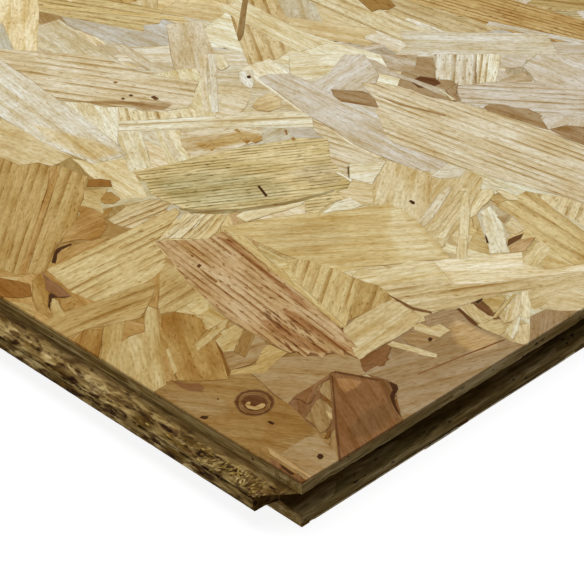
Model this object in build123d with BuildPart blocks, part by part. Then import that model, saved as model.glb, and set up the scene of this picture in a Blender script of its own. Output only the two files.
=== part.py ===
from build123d import *
import math
import os

# Tongue and groove floor panel of oriented strand board, lying flat with its laid face up.
# X runs along the long edge, Y across the panel and Z up. The origin is the middle of the underside.
# The tongues are on the -X and -Y edges and the grooves on the +X and +Y edges.

# Driving dimensions in millimetres, the taper in degrees
COVER_LENGTH = 2400.0   # laid length, tongue left out
COVER_WIDTH = 600.0     # laid width, tongue left out
THICKNESS = 18.0
GROOVE_MOUTH = 9.0      # height of the groove where it opens
GROOVE_DROP = 0.3       # groove's middle below the panel's middle: the laid face has the thicker lip
GROOVE_DEPTH = 11.0
WALL_TAPER = 7.5        # lean of each wall of the groove and the tongue
SIDE_CLEARANCE = 0.15   # between tongue and groove wall in a closed joint
TIP_CLEARANCE = 0.7     # between tongue tip and groove floor in a closed joint
LOWER_SETBACK = 0.5     # lower lip stands back, so a joint closes on the laid face
FLOOR_RADIUS = 1.5      # in the corners of the groove floor
TIP_RADIUS = 1.8        # on the corners of the tongue tip

# Heights of the groove mouth and the section of the tongue that fits it
lean = math.tan(math.radians(WALL_TAPER))
mouth_middle = THICKNESS / 2 - GROOVE_DROP
mouth_low = mouth_middle - GROOVE_MOUTH / 2
mouth_high = mouth_middle + GROOVE_MOUTH / 2
floor_half = GROOVE_MOUTH / 2 - GROOVE_DEPTH * lean
tongue_length = GROOVE_DEPTH - TIP_CLEARANCE
root_half = GROOVE_MOUTH / 2 - SIDE_CLEARANCE
tip_half = root_half - tongue_length * lean
floor_radius = min(FLOOR_RADIUS, 0.9 * floor_half)
tip_radius = min(TIP_RADIUS, 0.9 * tip_half)


def milled_section(plane, cover):
    """Returns the section that one pass of the mill leaves: a tongue on the - side, a groove on the + side."""
    shoulder = -cover / 2
    tip = shoulder - tongue_length
    lip = cover / 2
    lower_lip = lip - LOWER_SETBACK
    floor = lip - GROOVE_DEPTH
    with BuildSketch(plane) as section:
        with BuildLine():
            Polyline(
                (shoulder, 0),
                (lower_lip, 0),
                (lower_lip, mouth_low + LOWER_SETBACK * lean),
                (floor, mouth_middle - floor_half),
                (floor, mouth_middle + floor_half),
                (lip, mouth_high),
                (lip, THICKNESS),
                (shoulder, THICKNESS),
                (shoulder, mouth_middle + root_half),
                (tip, mouth_middle + tip_half),
                (tip, mouth_middle - tip_half),
                (shoulder, mouth_middle - root_half),
                close=True,
            )
        make_face()
        corners = section.vertices().sort_by(Axis.X)
        fillet(corners[:2], tip_radius)
        floor_corners = section.vertices().filter_by_position(Axis.X, floor - 0.01, floor + 0.01)
        fillet(floor_corners, floor_radius)
    return section.sketch


# The board goes through the mill twice, once for its long edges and once for its ends,
# so it is what the two passes both leave: each groove runs out through the tongue that it meets
blank_length = COVER_LENGTH + 4 * tongue_length
blank_width = COVER_WIDTH + 4 * tongue_length
with BuildPart() as panel:
    extrude(milled_section(Plane.YZ, COVER_WIDTH), amount=blank_length / 2, both=True)
    extrude(milled_section(Plane.XZ, COVER_LENGTH), amount=blank_width / 2, both=True, mode=Mode.INTERSECT)

panel.part.label = "panel"
os.makedirs("parts", exist_ok=True)
export_step(panel.part, "parts/panel.step")
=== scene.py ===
import math
import random

import bmesh
import bpy
import numpy as np
from mathutils import Matrix, Vector, noise


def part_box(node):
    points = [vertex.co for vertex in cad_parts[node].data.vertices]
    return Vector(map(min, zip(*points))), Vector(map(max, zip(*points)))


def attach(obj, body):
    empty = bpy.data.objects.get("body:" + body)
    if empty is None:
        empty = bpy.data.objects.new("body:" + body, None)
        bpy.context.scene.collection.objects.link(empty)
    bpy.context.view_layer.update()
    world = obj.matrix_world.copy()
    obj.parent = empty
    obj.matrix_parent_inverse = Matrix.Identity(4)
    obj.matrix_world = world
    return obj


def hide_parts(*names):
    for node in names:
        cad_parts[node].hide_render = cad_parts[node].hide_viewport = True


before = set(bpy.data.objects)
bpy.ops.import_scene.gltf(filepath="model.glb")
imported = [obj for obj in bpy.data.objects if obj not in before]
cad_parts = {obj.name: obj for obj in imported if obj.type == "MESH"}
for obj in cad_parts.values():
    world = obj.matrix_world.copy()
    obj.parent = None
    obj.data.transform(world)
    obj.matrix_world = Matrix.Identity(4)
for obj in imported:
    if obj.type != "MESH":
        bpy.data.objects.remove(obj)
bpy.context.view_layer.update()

# Milled core of the board
# One mat of softwood strands, glued through and pressed hard, then cut to size. Its edges are milled to
# tongues and grooves, which cuts across the strands: the walls come out smooth, the tongue's nose torn.
MM = 0.001
MAT = 0.9 * MM  # depth of the strands on each face
TONGUE = 10.3 * MM  # reach beyond the face
GROOVE = 11.0 * MM  # depth from the edge
MOUTH_LOW, MOUTH_HIGH = 4.2 * MM, 13.2 * MM
panel_low, panel_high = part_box("panel")
THICK = panel_high.z
FACE_LOW = Vector((panel_low.x + TONGUE, panel_low.y + TONGUE))
FACE_HIGH = Vector((panel_high.x, panel_high.y))


def linear(code):
    """sRGB hex colour to the linear colour that shaders take."""
    parts = [int(code[i:i + 2], 16) / 255 for i in (1, 3, 5)]
    return [p / 12.92 if p <= 0.04045 else ((p + 0.055) / 1.055) ** 2.4 for p in parts] + [1.0]


def node(tree, kind, links=None, stops=(), **settings):
    """Adds one shader node, sets its fields, sockets or colour stops, and links earlier sockets into it."""
    made = tree.nodes.new(kind)
    for key, value in settings.items():
        if hasattr(made, key):
            setattr(made, key, value)
        else:
            made.inputs[key.replace("_", " ")].default_value = value
    for i, (place, colour) in enumerate(stops):
        if i >= len(made.color_ramp.elements):
            made.color_ramp.elements.new(place)
        made.color_ramp.elements[i].position = place
        made.color_ramp.elements[i].color = linear(colour)
    for socket, source in (links or {}).items():
        tree.links.new(source, made.inputs[socket])
    return made


def new_material(name):
    made = bpy.data.materials.new(name)
    made.use_nodes = True
    made.node_tree.nodes.clear()
    return made, made.node_tree


def add_piece(name, bm, material):
    """Makes a mesh object of a bmesh with the given material, which rides on the panel."""
    mesh = bpy.data.meshes.new(name)
    bm.to_mesh(mesh)
    bm.free()
    mesh.materials.append(material)
    made = bpy.data.objects.new(name, mesh)
    bpy.context.scene.collection.objects.link(made)
    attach(made, "root")
    return made


def slice_at(bm, axis, places, faces):
    """Cuts the faces at each place along an axis, always in the same order, so that they can be roughened."""
    normal = Vector((0, 0, 0))
    normal[axis] = 1
    for place in sorted(places):
        geom = dict.fromkeys(faces)
        for face in faces:
            geom.update(dict.fromkeys(face.edges))
            geom.update(dict.fromkeys(face.verts))
        cut = bmesh.ops.bisect_plane(
            bm, geom=list(geom), dist=1e-7, plane_co=normal * place, plane_no=normal
        )
        faces = [
            part for part in cut["geom"]
            if isinstance(part, bmesh.types.BMFace) and part.calc_center_bounds()[axis] > place
        ]


def steps(low, high, gap):
    return list(np.arange(low + gap, high - gap / 2, gap))


bm = bmesh.new()
bm.from_mesh(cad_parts["panel"].data)
bmesh.ops.remove_doubles(bm, verts=bm.verts, dist=1e-6)
for height, side in ((THICK - MAT, 1), (MAT, -1)):
    bmesh.ops.bisect_plane(
        bm, geom=bm.verts[:] + bm.edges[:] + bm.faces[:], dist=1e-7,
        plane_co=(0, 0, height), plane_no=(0, 0, side), clear_outer=True,
    )
bmesh.ops.dissolve_limit(bm, angle_limit=math.radians(1), verts=bm.verts, edges=bm.edges)
caps = bmesh.ops.holes_fill(bm, edges=[e for e in bm.edges if e.is_boundary], sides=0)["faces"]


def rim():
    return [f for f in bm.faces if f not in caps]


# The milled edges are cut up finely by the photographed corner and coarsely elsewhere
FINE = 0.9 * MM
COARSE = 15.0 * MM
NEAR = 0.29  # metres of edge from the corner
LONG_RUN = 0.1  # shorter lines lie across the edge
guard = [FACE_LOW.x + FINE, FACE_HIGH.x - GROOVE - FINE, FACE_LOW.y + FINE, FACE_HIGH.y - GROOVE - FINE]
slice_at(bm, 2, steps(MAT, THICK - MAT, FINE), rim())
slice_at(bm, 1, steps(panel_low.y, FACE_LOW.y, FINE) + guard[2:], rim())
slice_at(bm, 0, steps(FACE_HIGH.x - GROOVE, FACE_HIGH.x, FINE) + guard[:2], rim())
slice_at(bm, 0, [FACE_HIGH.x - NEAR], [f for f in rim() if f.calc_center_bounds().y < 0])
slice_at(bm, 1, [FACE_LOW.y + NEAR], [f for f in rim() if f.calc_center_bounds().x > 0])
for gap, limit in ((FINE, NEAR), (COARSE, math.inf)):
    runs = {}
    for edge in bm.edges:
        if LONG_RUN < edge.calc_length() < limit:
            runs.setdefault(round(edge.calc_length(), 4), []).append(edge)
    for length, edges in runs.items():
        bmesh.ops.subdivide_edges(bm, edges=edges, cuts=round(length / gap) - 1, use_grid_fill=False)
bm.normal_update()


def smooth_step(low, high, value):
    t = min(max((value - low) / (high - low), 0), 1)
    return t * t * (3 - 2 * t)


# Chips torn out of the tongue's nose, and the frayed lips of the groove. Where a groove runs out through a
# tongue, the thin feather of tongue left below it has broken off. Painted shade darkens the floor of the
# groove and the root of the tongue, where the face's edge shades it. Pairs of values are where a change
# starts and where it is complete
CHIP = Vector((5.0, 1.4, 1.2)) * MM
SAW_DEPTH, FIBRE_DEPTH, CHIP_DEPTH = 0.05, 0.4, 0.5
CHIP_WARP = 0.7
CHIP_SEED = 5
TORN_RUN = 12 * MM
TORN_DRIFT = 2.5 * MM
TORN_LOOK = (0.8 * MM, 3.4 * MM)
TORN_SHAPE = (3.5 * MM, 6.5 * MM)
TORN_HEIGHT = (5.5 * MM, 8 * MM)
GROOVE_SHADE_RANGE = (0.5 * MM, 7 * MM)
ROOT_SHADE_RANGE = (1.5 * MM, 6 * MM)
ROOT_SHADE_SHARE = 0.75
FACING_UP = 0.5
MARGIN = 0.3 * MM
FEATHER = 2 * MM
FRAY = 0.7 * MM
FRAY_RUN = 5 * MM
FRAY_BAND = (0.3 * MM, 2.2 * MM)
torn_mark = bm.verts.layers.float.new("torn")
shade_amount_mark = bm.verts.layers.float.new("painted_shade_amount")
milled_way = bm.verts.layers.float_vector.new("milled_way")
noise.seed_set(CHIP_SEED)
for v in bm.verts:
    to_end = min(v.co.x - panel_low.x, panel_high.x - v.co.x)
    to_side = min(v.co.y - panel_low.y, panel_high.y - v.co.y)
    v[milled_way] = v.co if to_side < to_end else v.co.yxz
    out_x, out_y = FACE_LOW.x - v.co.x, FACE_LOW.y - v.co.y
    in_x, in_y = FACE_HIGH.x - v.co.x, FACE_HIGH.y - v.co.y
    outward, inward = max(out_x, out_y), min(in_x, in_y)
    v[shade_amount_mark] = 0.0
    # Painted shade: darker deeper into the groove, and on the tongue's slope close under the face's edge
    if inward < GROOVE + 0.1 * MM and MOUTH_LOW - MARGIN < v.co.z < MOUTH_HIGH + MARGIN:
        v[shade_amount_mark] = smooth_step(*GROOVE_SHADE_RANGE, inward)
    elif outward > 0 and v.normal.z > FACING_UP:
        v[shade_amount_mark] = ROOT_SHADE_SHARE * (1 - smooth_step(*ROOT_SHADE_RANGE, outward))
    chip = CHIP if out_y > out_x else CHIP.yxz
    spot = Vector((v.co.x / chip.x, v.co.y / chip.y, v.co.z / chip.z))
    drift = noise.fractal(v.co / TORN_RUN, 1.0, 2.0, 2)
    v[torn_mark] = smooth_step(*TORN_LOOK, outward + TORN_DRIFT * drift)
    torn = smooth_step(*TORN_SHAPE, outward + TORN_DRIFT * drift)
    torn *= smooth_step(*TORN_HEIGHT, v.co.z)
    wave = abs(noise.fractal(spot, 1.0, 2.0, 3))
    flake = 0.5 + 0.5 * noise.cell(spot + noise.noise_vector(spot * CHIP_WARP))
    v.co -= v.normal * (SAW_DEPTH * wave + torn * (FIBRE_DEPTH * wave + CHIP_DEPTH * flake)) * MM
    if outward > 0 and inward < GROOVE - MARGIN and v.co.z < MOUTH_LOW + FEATHER:
        v.co.x = max(v.co.x, FACE_LOW.x)
        v.co.y = max(v.co.y, FACE_LOW.y)
    for mouth, side in ((MOUTH_HIGH, 1), (MOUTH_LOW, -1)):
        off = math.hypot(max(inward, 0), v.co.z - mouth)
        drift = noise.fractal(v.co / FRAY_RUN, 1.0, 2.0, 2)
        v.co.z += side * FRAY * max(drift, 0) * (1 - smooth_step(*FRAY_BAND, off))


# Milled strand board: thin layers of strands cut across, a few dark holes, no gloss, and painted shade in the
# groove and at the tongue's root. On the torn nose: pale chips, with painted shade between them and in
# patches.
osb, tree = new_material("milled strand board")
place = node(tree, "ShaderNodeAttribute", attribute_name="milled_way").outputs["Vector"]
torn = node(tree, "ShaderNodeAttribute", attribute_name="torn").outputs["Fac"]
painted_shade_amount = node(tree, "ShaderNodeAttribute", attribute_name="painted_shade_amount").outputs["Fac"]
wave = node(tree, "ShaderNodeTexNoise", {"Vector": place}, Scale=1 / (30 * MM), Detail=2.0).outputs["Color"]
sway = node(tree, "ShaderNodeVectorMath", {0: wave}, operation="MULTIPLY")
sway.inputs[1].default_value = (4 * MM, 2 * MM, 1.6 * MM)
bent = node(tree, "ShaderNodeVectorMath", {0: place, 1: sway.outputs[0]}, operation="ADD").outputs[0]


def patches(length, depth, height, kind, stops, **settings):
    """Patches of a size along the edge, across it and upward, in millimetres, with value and colour."""
    scale = (1 / (length * MM), 1 / (depth * MM), 1 / (height * MM))
    spread = node(tree, "ShaderNodeMapping", {"Vector": bent}, Scale=scale).outputs[0]
    made = node(tree, kind, {"Vector": spread}, Scale=1.0, **settings)
    value = made.outputs[0]
    if kind == "ShaderNodeTexVoronoi":
        value = node(tree, "ShaderNodeSeparateColor", {"Color": made.outputs["Color"]}).outputs[0]
    return value, node(tree, "ShaderNodeValToRGB", {"Fac": value}, stops).outputs[0]


_, layers = patches(26, 4, 1.2, "ShaderNodeTexVoronoi", [
    (0.0, "#7e6b40"), (0.35, "#917c4c"), (0.7, "#a38d5c"), (1.0, "#b6a174"),
])
_, chips = patches(5.5, 2.0, 1.6, "ShaderNodeTexVoronoi", [
    (0.0, "#7a5c34"), (0.25, "#977e4b"), (0.6, "#baa168"), (1.0, "#dac28a"),
])
fibre, fibres = patches(6, 1.2, 0.45, "ShaderNodeTexNoise", [(0.32, "#b9ab92"), (0.6, "#ffffff")], Detail=3.0)
# Painted shade on the torn nose: brown in the gaps between chips, and broader dim patches
_, chip_gap_shade = patches(6, 2.2, 1.7, "ShaderNodeTexNoise", [(0.35, "#65492a"), (0.5, "#ffffff")], Detail=3.0)
_, shade_patches = patches(15, 5, 4, "ShaderNodeTexNoise", [(0.38, "#9c8b64"), (0.56, "#ffffff")], Detail=2.0)
_, holes = patches(3.5, 2, 1.5, "ShaderNodeTexNoise", [(0.23, "#3c2a16"), (0.29, "#ffffff")], Detail=1.0)
_, smudges = patches(40, 4, 3, "ShaderNodeTexNoise", [(0.35, "#cfc2a6"), (0.6, "#ffffff")], Detail=2.0)
# Painted shade from the marks of the groove and the tongue's root
shade_tint = node(tree, "ShaderNodeValToRGB", {"Fac": painted_shade_amount}, [(0.0, "#ffffff"), (1.0, "#b8a88e")]).outputs[0]
milled, nose = layers, chips
for shade in (fibres, smudges, holes, shade_tint):
    milled = node(tree, "ShaderNodeVectorMath", {0: milled, 1: shade}, operation="MULTIPLY").outputs[0]
for shade in (fibres, chip_gap_shade, shade_patches, shade_tint):
    nose = node(tree, "ShaderNodeVectorMath", {0: nose, 1: shade}, operation="MULTIPLY").outputs[0]
colour = node(tree, "ShaderNodeMix", {0: torn, 6: milled, 7: nose}, data_type="RGBA").outputs[2]
bump = node(tree, "ShaderNodeBump", {"Height": fibre}, Strength=0.6, Distance=0.4 * MM).outputs[0]
skin = node(
    tree, "ShaderNodeBsdfPrincipled", {"Base Color": colour, "Normal": bump},
    Roughness=0.75, Specular_IOR_Level=0.06,
)
node(tree, "ShaderNodeOutputMaterial", {"Surface": skin.outputs[0]})
board = add_piece("board", bm, osb)
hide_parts("panel")

# Slivers torn up on the tongues
# The cutter lifts slivers of softwood along the tongue, still rooted in the board. They lie on its slope
# and its nose, and stand thickest at the tongue's end by the grooved edge.
ROOT_TOP, TIP_TOP = 13.05 * MM, 11.69 * MM
SLIVER_WOODS = ("#a98d50", "#987c46", "#826538", "#b49a5e", "#755a30", "#bb9f58")
TUFTS = 6
TUFT_SLIVERS = 30
TUFT_SPREAD = 0.018  # mean distance of a sliver from the tongue's end
BY_THE_END = 22 * MM
SLIVER_REACH = (3.5, 9.6)
SLIVER_HALF = (0.8, 2.2)
SLIVER_THICK = (0.3, 0.6)
SLIVER_TILT = (-0.3, 0.12)
LEAN, LEAN_BY_THE_END = (0, 0.25), (1.2, 0.6)
NOSE_START = 8.5 * MM
NOSE_DROP = 3
SLIVER_FACES = 8
rng = random.Random(5)

# Torn softwood fibre: raw fibres pulled out of the wood. The eye sees dull straw and brown threads, darker in
# spots, with no gloss.
torn_wood, tree = new_material("torn softwood fibre")
tint = node(tree, "ShaderNodeAttribute", attribute_name="tint").outputs["Color"]
place = node(tree, "ShaderNodeTexCoord").outputs["Object"]
speckle = node(tree, "ShaderNodeTexNoise", {"Vector": place}, Scale=1 / (1.5 * MM), Detail=2.0).outputs[0]
shade = node(tree, "ShaderNodeValToRGB", {"Fac": speckle}, [(0.35, "#b8a88c"), (0.6, "#ffffff")]).outputs[0]
colour = node(tree, "ShaderNodeVectorMath", {0: tint, 1: shade}, operation="MULTIPLY").outputs[0]
skin = node(
    tree, "ShaderNodeBsdfPrincipled", {"Base Color": colour}, Roughness=0.7, Specular_IOR_Level=0.06
)
node(tree, "ShaderNodeOutputMaterial", {"Surface": skin.outputs[0]})

bm = bmesh.new()
for number in range(TUFTS):
    on_long = number % 3 > 0
    start = Vector((FACE_HIGH.x - GROOVE, FACE_LOW.y, 0))
    if not on_long:
        start = Vector((FACE_LOW.x, FACE_HIGH.y - GROOVE, 0))
    along = Vector((-1, 0, 0)) if on_long else Vector((0, -1, 0))
    out = Vector((0, -1, 0)) if on_long else Vector((-1, 0, 0))
    run = (FACE_HIGH.x - FACE_LOW.x if on_long else FACE_HIGH.y - FACE_LOW.y) - GROOVE
    tuft = bmesh.new()
    for _ in range(TUFT_SLIVERS):
        far = min(rng.expovariate(1 / TUFT_SPREAD), run - 12 * MM) + 0.6 * MM
        reach = rng.uniform(*SLIVER_REACH) * MM
        slope = ROOT_TOP - (ROOT_TOP - TIP_TOP) * reach / TONGUE
        height = slope - max(reach - NOSE_START, 0) * rng.uniform(0, NOSE_DROP)
        half = rng.uniform(*SLIVER_HALF) * MM
        lean = rng.gauss(*(LEAN_BY_THE_END if far < BY_THE_END else LEAN))
        way = along * math.cos(lean) + out * math.sin(lean) + Vector((0, 0, rng.uniform(*SLIVER_TILT)))
        half = min(half, (TONGUE - 0.1 * MM - reach) / max(abs(way.dot(out)), 0.01))
        middle = start + along * max(far, half + 0.3 * MM) + out * reach + Vector((0, 0, height))
        thick = rng.uniform(*SLIVER_THICK) * MM
        turn = way.to_track_quat("Z", "Y").to_matrix().to_4x4()
        spread = Matrix.Diagonal((thick, thick, half, 1))
        bmesh.ops.create_uvsphere(
            tuft, u_segments=4, v_segments=2, radius=1, matrix=Matrix.Translation(middle) @ turn @ spread
        )
    wood = tuft.loops.layers.float_color.new("tint")
    for i, face in enumerate(tuft.faces):
        for loop in face.loops:
            loop[wood] = linear(SLIVER_WOODS[(i // SLIVER_FACES + number) % len(SLIVER_WOODS)])
    mesh = bpy.data.meshes.new("tuft")
    tuft.to_mesh(mesh)
    tuft.free()
    bm.from_mesh(mesh)
    bpy.data.meshes.remove(mesh)
add_piece("torn_slivers", bm, torn_wood)

# Strands of the laid face
# Thin softwood strands sliced along the grain, glued and pressed flat. The uppermost lie level with
# the face and those below show a little deeper between them. Near the corner they lie as photographed.
CAMERA_LENS = 135.0
CAMERA_SENSOR = 36.0
CAMERA_TURN = math.radians(44.9)
CAMERA_RISE = math.radians(33.1)
CAMERA_REACH = 0.759
CAMERA_AIM = Vector((-0.0777, 0.0731, 0))  # from the corner of the face
PHOTO_SIDE = 584
corner = Vector((FACE_HIGH.x, FACE_LOW.y, THICK))
aim = corner + CAMERA_AIM
to_camera = Vector((
    math.cos(CAMERA_RISE) * math.cos(CAMERA_TURN), -math.cos(CAMERA_RISE) * math.sin(CAMERA_TURN),
    math.sin(CAMERA_RISE),
))
eye = aim + to_camera * CAMERA_REACH
look = (-to_camera).to_track_quat("-Z", "Y")


def on_face(px, py):
    """The place on the laid face that a pixel of the photograph shows."""
    reach = PHOTO_SIDE * CAMERA_LENS / CAMERA_SENSOR
    ray = look @ Vector(((px - PHOTO_SIDE / 2) / reach, (PHOTO_SIDE / 2 - py) / reach, -1))
    spot = eye + ray * ((THICK - eye.z) / ray.z)
    return Vector((spot.x, spot.y))


# Colours of the wood, from bright sapwood to bark and the brown-black of a hole. Lilac and white are greyed
# by a painted sheen, and highlight is cream whitened by a painted highlight
TINTS = {
    "white": "#f0efe4", "ivory": "#fbfbea", "milk": "#f9f2d3", "lilac": "#e4e0d8", "butter": "#f3e8c2",
    "chalk": "#efe8d1", "cream": "#ecdfba", "corn": "#f0e0b0", "ash": "#d3c9b6", "straw": "#e6d7ae",
    "wheat": "#e6d4a1", "golden": "#dbc794", "oat": "#d1c4aa", "sand": "#d4bd86", "amber": "#cfb57b",
    "honey": "#c8a66b", "fawn": "#bca279", "tan": "#b29668", "clay": "#bf9d5e", "caramel": "#a68149",
    "russet": "#8d642c", "blush": "#d8bd92", "hazel": "#a07236", "rust": "#ad8c57",
    "bark": "#6f4a2a", "moss": "#b0a67c", "umber": "#4f3419", "sage": "#ded3a7", "redwood": "#b88e60",
    "walnut": "#966e48", "dun": "#b39b78", "cocoa": "#876440", "highlight": "#fff7da",
}

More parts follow.
